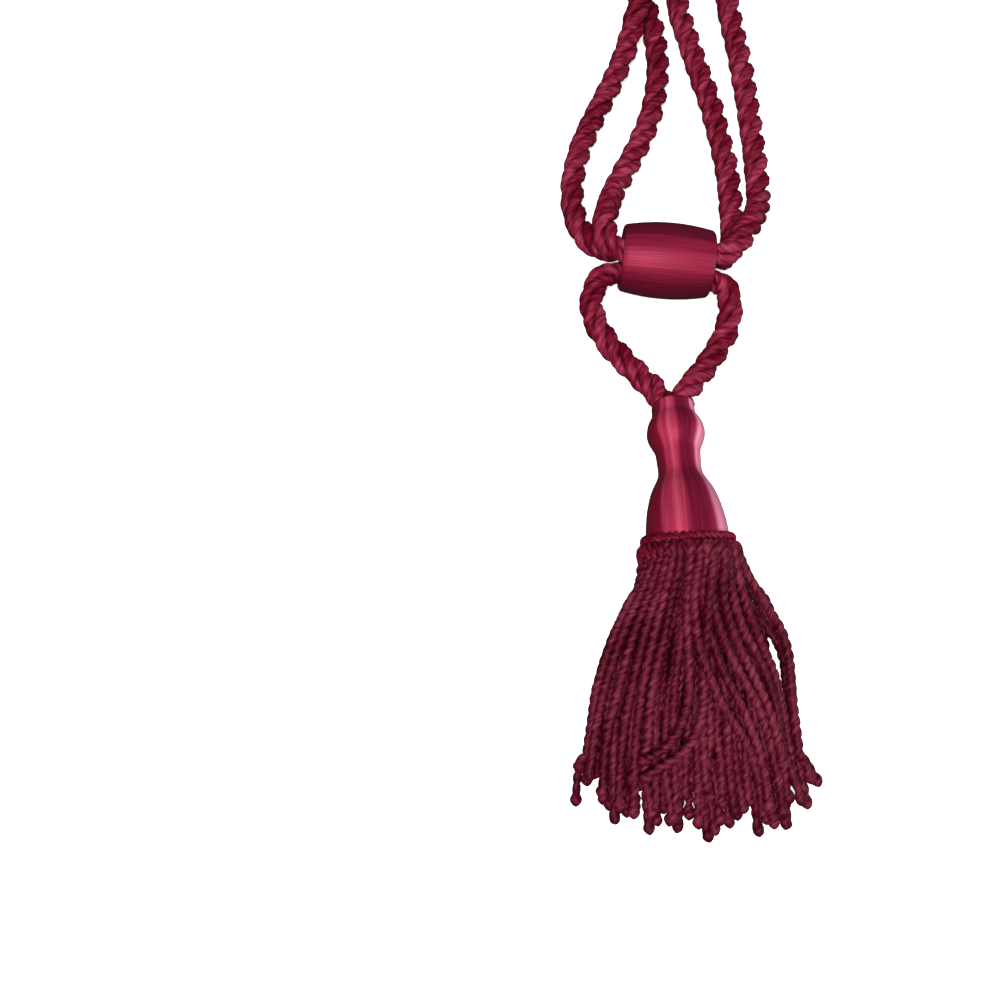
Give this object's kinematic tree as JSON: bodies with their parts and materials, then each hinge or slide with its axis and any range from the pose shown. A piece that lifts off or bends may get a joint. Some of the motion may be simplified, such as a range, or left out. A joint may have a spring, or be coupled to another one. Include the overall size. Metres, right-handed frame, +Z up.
{
  "type": "curtain tieback tassel",
  "caption": "Curtain tieback of thick twisted cord with arm loops through a floss-covered barrel slide, and a tassel with a turned head and bullion fringe, lying flat",
  "frame": {"origin": "on the surface, at the middle of the flat spot under the barrel slide", "axes": "+X across the tieback to its right, +Y along its length towards the arm loops, +Z up from the surface"},
  "size_m": [0.0851, 0.3728, 0.0346],
  "materials": {
    "cord_yarn": "twisted viscose yarn, dark crimson, soft sheen",
    "slide_floss": "viscose floss wound over a barrel, satin crimson",
    "head_floss": "viscose floss laid lengthways over a turned head, satin crimson",
    "heading_yarn": "bound and twisted yarn band, dark crimson",
    "fringe_yarn": "plied bullion strands, dark crimson"
  },
  "bodies": {
    "root": {"cable_cord": "cord_yarn", "barrel_slide": "slide_floss", "tassel_head": "head_floss", "fringe_heading": "heading_yarn", "bullion_fringe": "fringe_yarn"}
  },
  "joints": []
}
